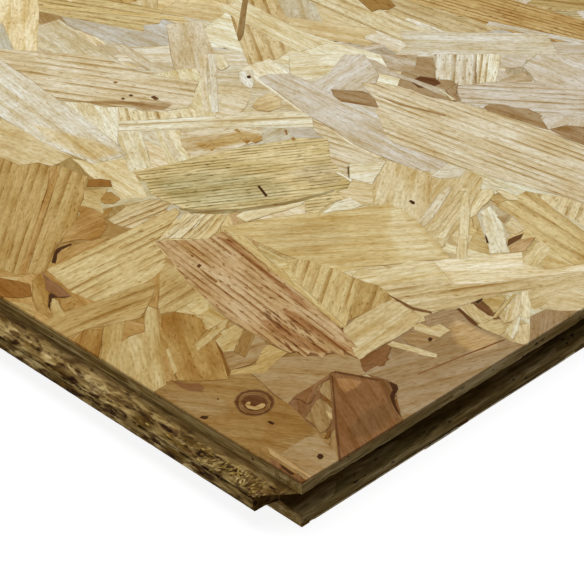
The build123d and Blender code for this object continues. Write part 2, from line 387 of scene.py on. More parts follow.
# Strands at the photographed corner, uppermost first: wood, cut of the grain, the way the grain runs
# and the outline, both in pixels of the photograph
CORNER_STRANDS = {
    "splinter by the corner": ("blush", "plain", (45, 28), [
        (268, 447.5), (272, 449), (290, 461), (313.5, 476.5), (310.5, 479), (290, 467), (270, 453.5)]),
    "white stick": ("straw", "plain", (50, 14), [
        (387, 344.5), (392.5, 341), (405, 344), (421, 349), (437.5, 354), (437, 357.5), (424, 355.3),
        (405, 349.5), (391, 346.5)]),
    "crossing stick": ("golden", "plain", (30, -28), [
        (194, 344), (205, 336), (222, 320.5), (228.5, 318.5), (226, 327), (212, 339.5), (197.5, 351)]),
    "sliver by the orange flake": ("golden", "plain", (10, 25), [
        (166, 350), (169, 347), (177.5, 370), (173, 376)]),
    "thin stick on the right": ("wheat", "plain", (18, -23), [
        (493, 317), (497, 311), (514, 293.5), (516.5, 294.5), (504, 308.5), (496, 318)]),
    "sliver under the plank a": ("ivory", "plain", (26, 10), [
        (481.5, 177.5), (486, 177.5), (498, 183.5), (508.5, 188.5), (497, 187), (488, 183)]),
    "sliver under the plank b": ("milk", "plain", (22, 9), [
        (495.5, 190), (503, 190), (513, 193.5), (520, 199.5), (509, 200.5), (502, 196)]),
    "chip by the plank": ("ivory", "plain", (16, 10), [(438, 89.5), (441, 89), (456, 99.5), (452, 100)]),
    "edge of the lined strand": ("ivory", "plain", (16, 9), [
        (334.5, 172.5), (338, 171), (353, 179.5), (351, 182)]),
    "brown leaf": ("dun", "heart", (45, 12), [
        (331, 89), (346, 90), (362, 91), (370, 94), (375.5, 100), (378.5, 107.5), (360, 104.5),
        (341, 101.5), (334, 96)]),
    "long leaf": ("dun", "heart", (60, 20), [
        (484, 107), (490, 103.5), (505, 104.5), (512, 107), (529, 108.5), (537, 113.5), (544, 122),
        (549, 130), (539, 127.5), (519, 120), (500, 114), (489, 111)]),
    "far wedge": ("dun", "heart", (30, 10), [(549, 129), (566, 125), (592, 128), (592, 148), (566, 138.5)]),
    "red slip": ("hazel", "heart", (24, 1), [
        (86.5, 186.5), (88, 179.5), (100, 178.5), (110, 180), (112.5, 186.5), (100, 186)]),
    "red diamond": ("clay", "heart", (10, 5), [
        (100, 199.5), (106, 191.5), (112, 192), (120.5, 199), (114, 203.5), (104, 203.5)]),
    "red chip": ("clay", "heart", (8, -8), [(102, 216), (104, 210), (113, 207), (109, 214.5), (105, 218)]),
    "brown flake": ("honey", "heart", (25, -10), [
        (78, 205.5), (84, 206), (95, 209), (103.5, 214), (104.5, 221), (107.5, 226.5), (100, 236.5),
        (92, 240), (78, 239.5), (61, 243), (64, 235), (72, 226), (80, 215)]),
    "bark leaf": ("walnut", "plain", (30, 50), [
        (331, 373), (335, 370.5), (350, 373.5), (370, 377.5), (391, 381.5), (394, 388), (392.5, 398),
        (397.5, 410), (406, 424), (395, 440), (345, 470), (340, 462), (337.5, 440), (335, 420), (333, 400),
        (331, 385)]),
    "red flake": ("walnut", "heart", (20, -14), [
        (359.5, 359.5), (372, 353), (385.5, 343.5), (391.5, 347), (388, 356), (384.5, 365.5), (380, 366.5),
        (373, 363), (363, 366.5)]),
    "orange flake": ("clay", "heart", (14, 40), [
        (161, 325), (162, 315), (175, 311.5), (181, 312.5), (195, 314.5), (203, 321.5), (207.5, 329),
        (201, 336), (215.5, 339.5), (222, 355), (228.5, 371), (228, 379), (200, 381), (177, 380),
        (168, 345)]),
    "brown patch at the edge": ("clay", "heart", (8, -25), [
        (74, 340.5), (83, 330.5), (90, 328.5), (103, 329.5), (101.5, 345), (99, 354), (97, 364),
        (84, 352)]),
    "knotty flake": ("cream", "heart", (20, -6), [
        (252, 106.5), (257.5, 98), (270, 92.5), (281.5, 98), (281, 106.5), (270, 111.5), (258, 110.5)]),
    "brown chip": ("dun", "heart", (8, 10), [
        (445, 90.5), (455, 84), (458.5, 82.5), (456, 95), (461, 100.5), (454, 101.5)]),
    "tan in the hollow": ("sand", "plain", (20, 6), [
        (481.7, 300), (495, 296.5), (506, 294.5), (505, 301), (497, 311), (494, 313), (489, 306)]),
    "brown chip below": ("blush", "heart", (20, -8), [
        (509.5, 252.5), (510, 245.5), (521, 239), (536, 237), (525, 250.5)]),
    "tan chip": ("golden", "heart", (2, 10), [
        (472, 219), (477.5, 215.5), (480, 224), (479, 231), (473, 227)]),
    "brown triangle": ("sand", "heart", (16, 2), [
        (489, 198.5), (497.5, 192.5), (508.5, 199.5), (497, 204)]),
    "small triangle": ("fawn", "heart", (10, -1), [(496, 216.5), (509, 214.5), (504.5, 223)]),
    "brown chip by the leaf": ("russet", "plain", (4, 8), [
        (324, 395), (330, 400), (331.7, 407.5), (325.8, 401.7)]),
    "pale sliver by the leaf": ("golden", "plain", (4, 10), [
        (325.5, 410), (331.5, 414), (332.5, 419), (329, 418)]),
    "brown arc": ("walnut", "plain", (-8, 18), [
        (330.8, 373.3), (329, 378), (319, 385), (315, 393), (311.7, 401.7), (306.7, 403.7), (300, 399),
        (291.7, 398.3), (296.7, 394), (308, 388), (320, 380)]),
    "red chip in front": ("russet", "heart", (3, -8), [(324, 438), (330, 429), (330.8, 433), (328, 439)]),
    "ivory chip": ("ivory", "plain", (8, 12), [
        (214.5, 55), (224, 55), (229.5, 66), (222, 70.5), (217, 68)]),
    "grey chip": ("white", "plain", (10, 14), [
        (239, 71.5), (252.5, 69.5), (254.5, 80), (251.5, 88.5), (239, 82.5)]),
    "white flake": ("white", "plain", (30, -4), [
        (431, 175.5), (440, 170), (448.5, 164.5), (466, 170), (460.5, 177.5), (440, 178.5)]),
    "knotty chip": ("cream", "plain", (14, 8), [
        (505.5, 225.5), (512, 217.5), (520.5, 224), (524.5, 229.5), (515, 234.5), (507, 230.5)]),
    "stick a": ("chalk", "plain", (26, -34), [
        (417, 221.5), (437, 195), (447, 186.5), (453, 187), (432, 219), (424, 226.5)]),
    "stick b": ("straw", "plain", (30, -36), [
        (426, 232), (452, 200), (459, 191), (466, 190.5), (452, 211), (438, 229)]),
    "stick c": ("milk", "plain", (28, -32), [(436, 237), (462, 204.5), (467, 208), (444, 238.5)]),
    "upright stick": ("milk", "plain", (1, 40), [
        (461, 188), (469, 188), (470.5, 212), (468.5, 240), (467, 259), (455.5, 259), (459, 230),
        (460.5, 206)]),
    "short stick": ("butter", "plain", (14, -20), [
        (477.5, 190), (492.5, 188.5), (495, 193.5), (488.5, 202), (476.5, 214.5), (470.5, 218),
        (471.5, 204)]),
    "pale stick": ("ivory", "plain", (14, 40), [
        (480.5, 211.5), (490, 205.5), (500.5, 220), (506.5, 240), (509.5, 252), (489.5, 253), (487.5, 240),
        (483, 222)]),
    "rib a": ("milk", "ribbed", (28, -24), [
        (157, 241.5), (166, 233), (184, 213), (190, 213), (196, 215), (169, 237.5)]),
    "rib b": ("milk", "ribbed", (28, -25), [
        (168, 238.5), (182, 226), (196, 214.5), (206, 214), (188, 233), (182, 238)]),
    "rib c": ("butter", "ribbed", (26, -25), [
        (181, 238.5), (196, 226), (206, 214), (217, 214), (204, 231), (192, 238.5)]),
    "rib d": ("corn", "ribbed", (22, -24), [
        (192, 239), (206, 229), (217, 214), (226.5, 215), (217, 232), (208, 238.5)]),
    "pale wedge": ("milk", "plain", (60, -14), [
        (236, 216), (243, 211.5), (280, 206), (306, 200.5), (300, 205.5), (271, 214), (246, 222)]),
    "white wedge": ("ivory", "plain", (36, -8), [
        (321, 213.5), (335, 202), (350, 197.5), (363, 205), (351, 209.5), (336, 210.5)]),
    "pale flake": ("ivory", "plain", (30, -4), [
        (349, 163.5), (372, 162.5), (387, 160.5), (380, 172), (372, 184), (360, 181), (349.5, 178.5)]),
    "cream chip on the rose strand": ("cream", "plain", (30, 6), [
        (413, 325), (420, 323), (430, 327), (440, 323.5), (450.5, 330), (440, 337), (428, 334),
        (415, 330)]),
    "eyed flake": ("fawn", "heart", (30, 4), [
        (402, 338), (410, 333), (420, 331), (430, 334), (440, 333), (437, 339), (428, 345.5), (418, 346.5),
        (408, 342.5)]),
    "pale strip on the tan strand": ("wheat", "plain", (50, 46), [
        (231, 236), (243, 234.5), (258, 249), (272, 262), (292, 279), (318, 300), (345, 326), (341, 328),
        (312, 303), (285, 281), (262, 262), (247, 248)]),
    "tan strand": ("blush", "ruled", (100, 76), [
        (155, 241.5), (182, 239.5), (208, 238.5), (222, 231.5), (233, 236), (250, 250), (264, 263),
        (283, 279), (308, 299), (332, 319), (350, 338), (358, 348), (352, 347), (356, 357), (343, 350),
        (345, 358), (330, 350), (322, 358), (312, 350), (306, 358), (296, 351), (290, 353), (276, 346),
        (262, 338), (245, 329), (230, 320), (215, 308), (200, 293), (188, 282), (175, 266), (163, 250)]),
    "lined strand": ("corn", "weathered", (200, -22), [
        (133, 172.5), (160, 166), (200, 156), (245, 146), (300, 137.5), (328, 138), (331, 160), (338, 172),
        (351, 181), (347, 188), (337, 191), (345, 199), (330, 203), (318, 212.5), (305, 212), (305, 201.5),
        (270, 206.5), (240, 211), (222, 213.5), (190, 212.5), (176, 205), (162, 200), (150, 192),
        (146, 182)]),
    # Painted highlight: the plank is whitened where the window's sheen lies on it
    "bright plank": ("highlight", "plain", (90, -6), [
        (433, 261), (450, 258), (490, 255), (522, 252), (523, 264), (545, 269), (592, 262), (592, 270),
        (566, 273), (540, 276.5), (520, 278.5), (500, 281.5), (475, 283.5), (454, 284.5)]),
    "cream flake": ("butter", "plain", (80, -14), [
        (351, 276), (358, 270), (390, 267.5), (410, 260), (436, 261), (456, 286), (440, 279), (400, 283),
        (380, 285), (365, 281.5)]),
    "cream plank": ("straw", "lined", (110, -16), [
        (379, 285), (400, 281), (440, 277), (454, 283.5), (480, 283), (500, 281), (535, 275.5), (566, 269),
        (592, 262), (592, 277), (566, 281), (535, 287), (510, 291.5), (480, 299.5), (455, 307.5),
        (430, 312), (412, 308.5), (396, 299.5), (387, 292)]),
    "grey plank": ("straw", "plain", (60, -38), [
        (343, 329), (355, 318), (382, 303), (392, 300), (400, 302), (412, 311), (421.5, 317), (415, 325),
        (395, 338), (382, 345), (360, 360), (352, 352)]),
    "golden strand": ("wheat", "plain", (190, -10), [
        (221, 228), (245, 222), (275, 217), (305, 213), (350, 209.5), (388, 203), (400, 208), (418, 221),
        (440, 245), (452, 259), (410, 261), (385, 265), (353, 267), (320, 263), (292, 257), (270, 247),
        (247, 236.5), (232, 235)]),
    "dashed strand": ("wheat", "lined", (-9, 26), [
        (285, 262), (305, 257), (320, 264), (340, 270), (352, 276), (357, 279), (354, 300), (349, 318),
        (345, 329), (330, 315), (310, 295), (297, 282)]),
    "dashed strand right": ("amber", "lined", (-9, 26), [
        (353, 276), (372, 283), (386, 287.5), (394, 297), (380, 305), (365, 313), (348, 320), (350, 300)]),
    "orange chip at the left": ("hazel", "plain", (10, 8), [
        (-8, 276), (19, 281), (30, 284), (32, 296), (19, 298), (-8, 296)]),
    "pink flake at the left": ("walnut", "plain", (30, 22), [
        (41, 271), (58, 284), (72, 296), (58, 297), (46, 290)]),
    "curled chip": ("golden", "plain", (10, 16), [(52, 298), (58, 300), (66, 316), (54, 318), (50, 308)]),
    "orange curl": ("honey", "plain", (10, -4), [(60, 300), (70, 298), (74, 306), (66, 310), (61, 308)]),
    "pale chip at the left": ("amber", "plain", (16, 8), [
        (-8, 299), (20, 302), (30, 304), (36, 312), (34, 316), (-8, 306)]),
    "ribbed strand": ("wheat", "ribbed", (110, -54), [
        (46, 269), (62, 262), (90, 249), (130, 229), (160, 214), (176, 207.5), (180, 213), (157, 241),
        (166, 258), (163, 268), (151, 279.5), (130, 288), (109, 297), (95, 301), (84, 297), (72, 292),
        (60, 281)]),
    "gold strand at the edge": ("amber", "lined", (100, -38), [
        (40, 326), (44, 321), (60, 313), (75, 308), (95, 301.5), (112, 296), (150, 280), (156, 285),
        (153, 296), (148, 306), (141, 318), (122, 322), (105, 326), (85, 329), (70, 340), (60, 345)]),
    "tan at the left": ("clay", "plain", (8, 20), [
        (32, 280), (42, 271), (50, 284), (49, 300), (46, 314), (38, 312), (32, 300)]),
    "bark under the ribs": ("clay", "heart", (30, 22), [
        (42, 272), (55, 279), (72, 293), (79, 299), (70, 312), (53, 320), (44, 314), (45, 290)]),
    "tan chip left": ("honey", "plain", (10, 12), [
        (50, 301), (60, 298.5), (67, 308), (60, 315), (51, 318)]),
    "straw at the edge": ("sand", "plain", (-4, 30), [
        (103, 326.5), (121, 321), (125.5, 318.5), (122, 340), (120, 372), (108, 372), (98, 362),
        (101.5, 345)]),
    "tan by the straw": ("honey", "plain", (20, 6), [
        (124, 318), (146, 324), (144, 332), (130, 336), (121, 342)]),
    "upright cream": ("golden", "plain", (6, 60), [
        (144, 324), (147, 305), (157.5, 309), (160, 340), (166, 384), (152, 392), (149, 350)]),
    "cream at the edge": ("golden", "plain", (6, 30), [
        (121, 341), (131, 335), (143, 331), (148, 329), (151, 350), (154, 390), (138, 390), (126, 378),
        (118, 368)]),
    "pink blotch": ("honey", "heart", (10, -4), [
        (139, 299), (148, 294), (156, 296), (154, 302), (144, 304)]),
    "upright strip": ("honey", "plain", (4, 40), [
        (146, 268), (157, 265), (160, 275), (159.5, 300), (157.5, 309), (147, 305)]),
    "olive flake": ("sand", "lined", (34, -20), [
        (157, 260), (170, 264), (178, 270), (190, 283), (201, 294), (196, 298), (176, 311), (160, 314),
        (156, 300)]),
    "cream chip": ("wheat", "plain", (16, -8), [
        (189, 310.5), (200, 302.5), (208, 303.5), (209, 313), (200, 316)]),
    "straw chips": ("sand", "plain", (18, 10), [
        (207, 304), (220, 312), (231, 321), (222, 322), (208, 330), (203, 321)]),
    "straw flake": ("golden", "plain", (22, -16), [
        (215, 340.5), (230, 326.5), (236, 324.5), (243.5, 330), (239, 340), (234, 351), (223, 352)]),
    "brown by the flake": ("rust", "plain", (-8, 22), [
        (240, 332), (248, 328.5), (257, 331), (252, 343), (245, 358), (236, 352)]),
    "grey flake": ("fawn", "plain", (34, -10), [
        (221, 351), (233, 350.5), (245, 357), (255, 334), (263, 338), (267, 345), (258, 360), (250, 364.5),
        (230, 370)]),
    "straw strip": ("amber", "plain", (34, -14), [
        (262, 344), (271, 344.5), (288, 352), (280, 358), (265, 373), (252, 373.5), (229.5, 374.5),
        (231, 369.5), (255, 364)]),
    "knot strand": ("rust", "plain", (120, 14), [
        (140, 378), (152, 381), (180, 381), (215, 376), (250, 372), (262, 383), (275, 396), (287, 404),
        (299, 412), (308, 423), (318.5, 433), (300, 438), (280, 441.5), (262, 447), (256, 470),
        (130, 395)]),
    "olive pale flake": ("fawn", "plain", (60, 4), [
        (251, 373), (265, 371), (280, 357), (305, 355), (322, 356), (340, 352), (362, 360), (366, 374),
        (350, 376), (332, 371), (323, 382), (312, 398), (299, 393), (288, 403), (275, 394), (262, 382)]),
    "flake with the hole": ("fawn", "plain", (30, 6), [
        (279, 455), (290, 446), (305, 437), (318, 432), (326, 442), (336, 450), (340, 462), (325, 478),
        (310, 484), (290, 466)]),
    "cream chips a": ("tan", "plain", (4, 14), [
        (324, 381.7), (330, 379), (330.8, 386.7), (331, 396.7), (331.7, 401.7), (325.8, 397.5),
        (321.7, 393.3), (319, 390)]),
    "cream chips b": ("tan", "lined", (4, 16), [
        (320, 398), (325.8, 401.7), (331.7, 408), (332.5, 416.7), (330, 426.7), (324, 431.7), (320, 433),
        (311.7, 423), (305, 418), (310, 410), (315, 401.7)]),
    "cream chips c": ("tan", "plain", (4, 20), [
        (330.8, 433), (335, 428), (338.5, 445), (340, 462), (331.7, 460), (327.5, 450)]),
    "rose strand": ("dun", "plain", (110, -30), [
        (364, 373), (375, 366.5), (392, 358), (415, 347), (421, 342), (430, 330), (424, 316), (440, 310.5),
        (456, 308.5), (470, 322), (482, 329), (500, 335), (513, 342), (545, 346), (545, 360), (410, 445),
        (400, 410), (396, 395), (398, 386), (390, 381)]),
    "pale chip a": ("straw", "plain", (14, 18), [
        (465, 306), (473, 303.5), (484, 314), (495, 317), (486, 323), (478, 322.5), (472, 318)]),
    "pale chip b": ("golden", "plain", (20, -4), [
        (477, 325), (487, 317), (502, 322), (506, 330), (500, 335.5), (484, 329)]),
    "olive by the sticks": ("cream", "plain", (-6, 22), [
        (519, 293), (521.7, 297), (521.5, 312), (517.5, 317), (512, 321), (504, 323), (506.7, 305)]),
    "pale stick right a": ("milk", "plain", (3, 24), [
        (521.7, 291.7), (528.3, 290), (530.8, 303), (529, 318), (521.7, 316.7)]),
    "pale stick right b": ("ivory", "plain", (-5, 20), [
        (515.8, 318), (520, 316.7), (518, 330), (513, 339), (505, 333), (506.7, 328)]),
    "pale stick right c": ("cream", "plain", (1, 16), [
        (519, 325), (530, 323), (529, 341.7), (524, 346), (514, 341)]),
    "rose patch": ("dun", "plain", (-4, 30), [
        (530, 316), (546, 308.5), (560, 311), (592, 309), (592, 332), (566, 330), (529, 352)]),
    "bright patch": ("cream", "plain", (20, 4), [
        (542, 306.5), (548, 300), (556, 292), (592, 282), (592, 312), (560, 310)]),
    "straw by the plank": ("straw", "plain", (40, -10), [
        (527, 290), (566, 280), (592, 275), (592, 296), (560, 300), (545, 304), (535, 309), (529, 306)]),
    "plank": ("chalk", "lined", (180, 66), [
        (361, 82), (385, 84), (400, 86), (430, 97), (460, 103), (500, 113.5), (548, 130), (566, 139),
        (596, 153), (596, 209), (566, 197), (530, 187), (500, 178.5), (470, 170), (446, 162), (420, 152),
        (393, 143), (387, 137), (380, 120), (375, 110), (378, 107), (375, 99), (366, 90)]),
    "lilac strand": ("lilac", "plain", (180, 88), [
        (258, 77), (268, 74), (290, 73), (312, 82), (331, 93), (341, 101), (379, 107), (384, 122),
        (394, 143), (420, 151), (448, 163), (437, 171), (420, 170.5), (400, 163.5), (375, 153.5),
        (355, 144.5), (340, 134.5), (320, 121.5), (303, 111), (275, 90)]),
    "striped strand": ("lilac", "lined", (110, 6), [
        (456, 86), (480, 83), (500, 81), (534, 82), (566, 85), (596, 88), (596, 118), (566, 116),
        (545, 117), (537, 112), (520, 108.5), (505, 105), (490, 104), (483, 108), (462, 102), (458, 95)]),
    "upright ribs left": ("white", "ribbed", (-2, 30), [
        (433, 54), (477, 54), (476, 86), (458, 85), (451, 80), (436, 79)]),
    "upright ribs right": ("ivory", "ribbed", (-4, 30), [
        (476, 54), (502, 54), (498, 75), (494, 89), (477, 88)]),
    "far olive": ("oat", "plain", (30, -5), [(499, 80), (524, 71), (533, 80.5), (520, 83), (499, 83)]),
    "far lilac": ("lilac", "plain", (50, 20), [
        (537, 54), (596, 54), (596, 87), (566, 85), (545, 84.5), (535, 80), (528, 72), (522, 66)]),
    "far grey": ("lilac", "plain", (24, 6), [(500, 54), (530, 54), (524, 66), (512, 68), (500, 66)]),
    "far rose": ("lilac", "plain", (30, -20), [
        (311, 82), (318, 80), (330, 72), (344, 54), (364, 54), (379, 75), (373, 92), (331, 90), (325, 95)]),
    "far stripe": ("ivory", "plain", (50, -4), [
        (289, 54), (344, 54), (331, 70), (316, 77.5), (300, 81), (290, 74)]),
    "far strip": ("ash", "plain", (80, 30), [
        (357, 63), (378, 72), (413, 82), (447, 98), (447, 90), (400, 74), (375, 60), (360, 56)]),
    "far chips": ("ash", "heart", (20, 6), [(380, 54), (418, 54), (414, 71), (390, 71)]),
    "far upright a": ("chalk", "plain", (6, 50), [(199, 54), (207, 54), (210, 112), (203, 110)]),
    "far upright b": ("white", "plain", (6, 50), [(208, 54), (217, 54), (219, 112), (211, 112)]),
    "far cream": ("chalk", "plain", (30, 8), [
        (218, 85), (245, 88), (251, 92), (247, 106), (240, 113), (215, 118), (217, 95)]),
    "straw strand": ("chalk", "lined", (170, 24), [
        (-10, 48), (100, 56), (135, 70), (165, 77), (199.5, 81), (193.5, 97), (190, 107), (165, 111),
        (143, 111), (130, 106), (104, 107), (90, 103), (60, 100), (45, 91), (31, 80), (-10, 52)]),
    "grey strand": ("white", "plain", (110, 84), [
        (-14, 50), (20, 72), (31, 79), (45, 90), (68, 105), (85, 118), (100, 130), (115, 142), (127.5, 154),
        (112, 159), (93, 163.5), (85, 160), (60, 150.5), (40, 140), (28, 133), (-14, 108)]),
    "cream flake left": ("ivory", "plain", (20, 40), [
        (64, 102), (92, 102), (118, 104), (118, 141), (124, 155), (115, 143), (100, 131), (85, 119)]),
    "long strip": ("ivory", "lined", (190, -8), [
        (117.5, 121), (160, 119), (205, 116), (240, 112), (312, 111), (314, 127), (260, 127), (215, 127.5),
        (165, 131), (118, 131)]),
    "pale strip above": ("milk", "ribbed", (4, 12), [
        (117, 106), (140, 110), (165, 112), (192, 108), (205, 116), (160, 119), (118, 121)]),
    "pale flake left": ("ivory", "plain", (14, 36), [
        (117, 130), (141, 130), (148, 150), (151, 167), (130, 172), (124, 155), (117, 146)]),
    "golden flake": ("chalk", "heart", (60, -8), [
        (180, 130), (240, 126.5), (263, 131), (259, 141), (245, 145), (215, 155), (190, 155), (182, 146)]),
    "slip a": ("chalk", "plain", (16, 26), [(159, 131), (167, 130.5), (181, 156), (175, 160)]),
    "slip b": ("milk", "plain", (20, 22), [(168, 130), (184, 130), (192, 152), (183, 154)]),
    "orange band": ("honey", "lined", (-32, 84), [
        (50, 166), (61, 166), (49, 205), (34, 250), (27, 274), (17, 274), (30, 238), (43, 200)]),
    "straw side": ("amber", "lined", (-32, 84), [
        (59, 165), (75, 172), (88, 176.5), (84, 190), (80.5, 206), (76, 221), (62, 239), (54, 253),
        (46, 272), (26, 274), (36, 240), (50, 200)]),
    "golden side": ("amber", "lined", (-32, 84), [
        (-12, 152), (20, 165), (38, 162), (52, 167), (45, 200), (31, 245), (19, 276), (-12, 262)]),
    "tan below the flake": ("honey", "plain", (34, -16), [
        (60, 263), (62, 252), (75, 244), (95, 239.5), (108, 236), (98, 247), (75, 257)]),
    "olive small flake": ("golden", "plain", (24, 8), [
        (80, 190), (108, 188.5), (104, 197), (100, 204), (105, 214), (95, 210), (79, 206)]),
    "cream big flake": ("butter", "plain", (50, 30), [
        (72, 158), (95, 162), (140, 157), (153, 170), (136, 176), (148, 197), (121, 199), (112, 188),
        (110, 180), (95, 179), (84, 170)]),
    "straw chips left": ("straw", "ribbed", (30, -12), [
        (108, 219), (125, 207), (152, 198), (172, 203), (150, 218), (135, 229), (116, 225)]),
    "tan flake": ("cream", "plain", (-10, 40), [
        (386, 160), (420, 168), (432, 178), (432, 197), (418, 223), (408, 216), (398, 209), (388, 206),
        (373, 204), (371, 186)]),
    "straw by the pale flake": ("cream", "plain", (30, 4), [
        (348, 178), (373, 182), (374, 203), (362, 205), (345, 199), (336, 192)]),
    "broad straw": ("wheat", "lined", (90, 60), [
        (490, 202), (508, 199), (526, 191), (546, 209), (566, 224), (600, 246), (600, 280), (566, 260),
        (545, 244), (531, 236), (514, 216)]),
    "brown line": ("golden", "plain", (60, 44), [
        (524, 190), (534, 192), (566, 217), (596, 240), (596, 247), (566, 225), (546, 210)]),
    "ribbed chips right": ("butter", "ribbed", (10, -22), [
        (533, 192), (558, 195), (596, 200), (596, 232), (566, 216), (552, 207)]),
    "pale strips right": ("butter", "plain", (18, -24), [
        (518, 264), (535, 243), (546, 240), (552, 245), (541, 262), (530, 272)]),
    "tan right": ("wheat", "plain", (26, 10), [
        (541, 262), (552, 244), (566, 252), (600, 274), (592, 282), (566, 273), (545, 271)]),
    "tan in front": ("rust", "plain", (30, 8), [
        (246, 440), (262, 438), (300, 430), (322, 424), (332, 440), (320, 462), (296, 474), (262, 452)]),
    "straw at the far left": ("straw", "plain", (20, 8), [
        (-10, 112), (28, 132), (45, 141), (60, 150), (72, 156), (52, 166), (38, 163), (20, 166),
        (-12, 154)]),
    "cream beside the lined strand": ("chalk", "lined", (40, 12), [
        (312, 111), (330, 128), (345, 140), (372, 155), (388, 161), (372, 164), (348, 166), (350, 180),
        (338, 174), (328, 160), (324, 138), (312, 128)]),
    "oat behind the sticks": ("straw", "plain", (10, -14), [
        (430, 178), (470, 170), (484, 178), (472, 215), (442, 246), (418, 222)]),
    "tan under the pit": ("honey", "plain", (10, -14), [
        (44, 272), (50, 256), (58, 247), (72, 243), (66, 252), (60, 266), (48, 273)]),
    "tan under the arc": ("clay", "plain", (20, 12), [
        (42, 290), (60, 288), (76, 298), (72, 313), (54, 321), (43, 313)]),
}
